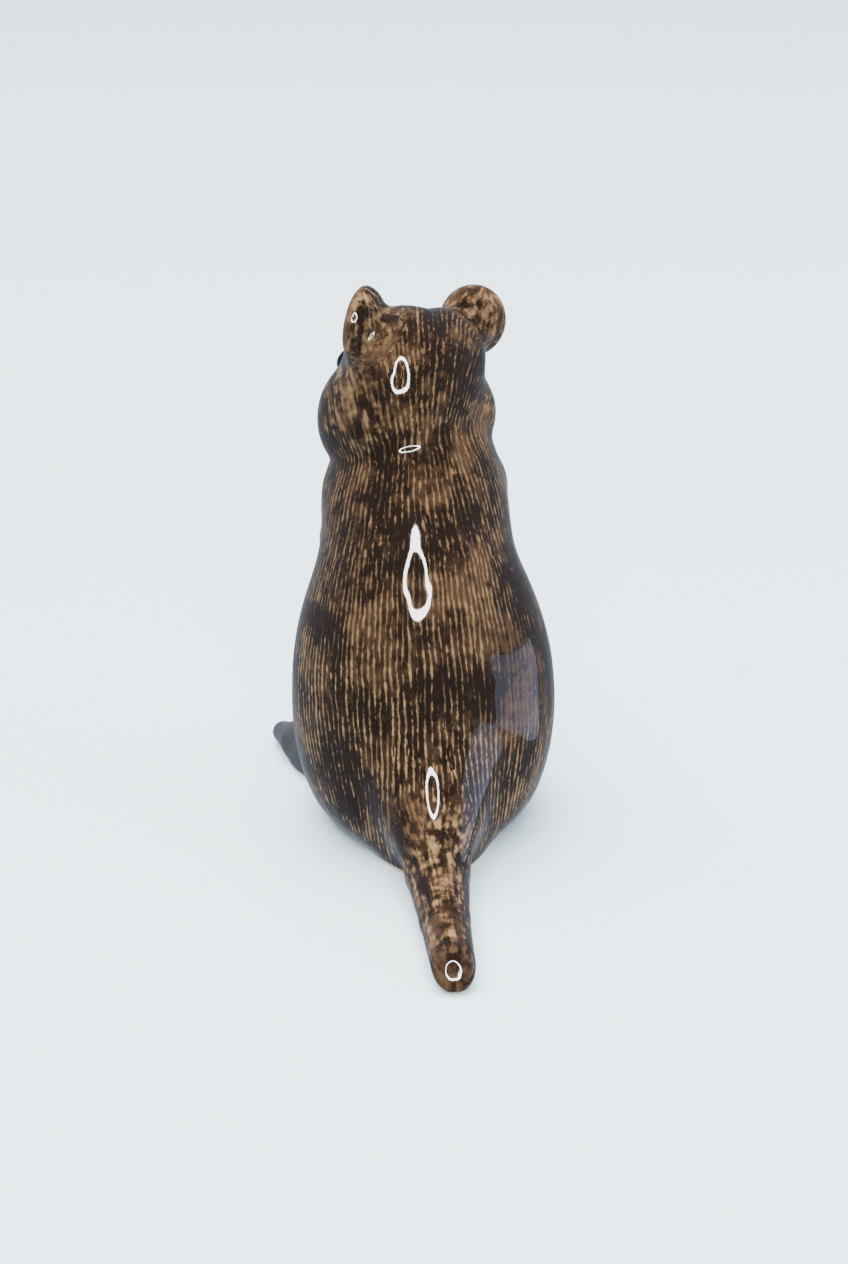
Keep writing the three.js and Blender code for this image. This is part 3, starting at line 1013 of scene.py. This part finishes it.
# %% Ring of light round the lens
def mirrored_only(name, mesh):
    """A glowing piece of the studio that shows only in the glaze."""
    piece = bpy.data.objects.new(name, mesh)
    piece.visible_camera = False
    piece.visible_diffuse = False
    piece.visible_shadow = False
    bpy.context.scene.collection.objects.link(piece)


RING_INNER, RING_OUTER = 46, 60
RING_SIDES = 96
RING_STRENGTH = 160

ring_points, ring_faces = [], []
for side in range(RING_SIDES):
    angle = 2 * math.pi * side / RING_SIDES
    spoke = math.cos(angle) * CAMERA_RIGHT + math.sin(angle) * CAMERA_UP
    ring_points += [(CAMERA_PLACE + spoke * radius) * METRE for radius in (RING_INNER, RING_OUTER)]
    a, b = 2 * side, 2 * ((side + 1) % RING_SIDES)
    ring_faces.append((a, a + 1, b + 1, b))
ring_mesh = bpy.data.meshes.new("studio_ring")
ring_mesh.from_pydata([tuple(point) for point in ring_points], [], ring_faces)
ring_mesh.materials.append(glow("studio_ring", (1, 1, 1, 1), RING_STRENGTH))
mirrored_only("studio_ring", ring_mesh)
print("ring of light, mm across:", 2 * RING_OUTER)


# %% Soft lights
def soft_light(name, place, target, size, watts, colour=(1, 1, 1)):
    """A large lamp that lights the paint but is not mirrored in the glaze."""
    data = bpy.data.lights.new(name, "AREA")
    data.shape = "RECTANGLE"
    data.size, data.size_y = size
    data.energy = watts
    data.color = colour
    light = bpy.data.objects.new(name, data)
    light.location = place
    way_to = Vector(target) - Vector(place)
    light.rotation_euler = way_to.to_track_quat("-Z", "Y").to_euler()
    light.visible_glossy = False
    bpy.context.scene.collection.objects.link(light)
    return light


soft_light("studio_top", (0.25, -0.05, 2.2), (0.1, -0.1, 0.02), (2.4, 2.4), 225)
soft_light("studio_front", (0.0, 0.75, 0.55), (0, 0, 0.03), (0.5, 0.4), 10)
soft_light("studio_side", (-0.7, 0.25, 0.35), (0, 0, 0.03), (0.5, 0.6), 4, (0.82, 0.9, 1.0))

# %% [markdown]
# The glaze mirrors the room, so the room matters as much as the lamps. It is bright cloth all round,
# except for the dark side where the camera stands. The sides of the animal pick up a blue-grey veil from
# the cloth, and its back stays deep brown. A pale card on the right gives the patch of cool light on
# that haunch.

# %% The room
DARK_WAY = unit([0.12, 0.95, 0.20])
DARK_EDGE = (-0.25, 0.75)
CLOTH_LIGHT = (0.34, 0.40, 0.50, 1)
DARK_LIGHT = (0.04, 0.042, 0.05, 1)

world = bpy.data.worlds.new("studio_room")
world.use_nodes = True
room = Nodes(world.node_tree)
looking = room.add("ShaderNodeTexCoord").outputs["Generated"]
ends = {0: looking, 1: tuple(DARK_WAY)}
facing = room.add("ShaderNodeVectorMath", ends, operation="DOT_PRODUCT").outputs["Value"]
room_light = room.mix(room.remap(facing, *DARK_EDGE), CLOTH_LIGHT, DARK_LIGHT)
background = world.node_tree.nodes["Background"]
world.node_tree.links.new(room_light, background.inputs["Color"])
background.inputs["Strength"].default_value = 1.0
bpy.context.scene.world = world
print("dark side of the room:", DARK_WAY.round(2))

# %% The card
CARD_X, CARD_Y, CARD_Z = -60, (-12, 42), (-16, 20)
CARD_COLOUR, CARD_STRENGTH = (0.55, 0.66, 1.0, 1), 2.6

card_rim = [(CARD_Y[0], CARD_Z[0]), (CARD_Y[1], CARD_Z[0]), (CARD_Y[1], CARD_Z[1]), (CARD_Y[0], CARD_Z[1])]
card_points = [(CARD_X * METRE, y * METRE, z * METRE) for y, z in card_rim]
card_mesh = bpy.data.meshes.new("studio_card")
card_mesh.from_pydata(card_points, [], [(0, 1, 2, 3)])
card_mesh.materials.append(glow("studio_card", CARD_COLOUR, CARD_STRENGTH))
mirrored_only("studio_card", card_mesh)
print("card, mm:", CARD_Y[1] - CARD_Y[0], "by", CARD_Z[1] - CARD_Z[0])
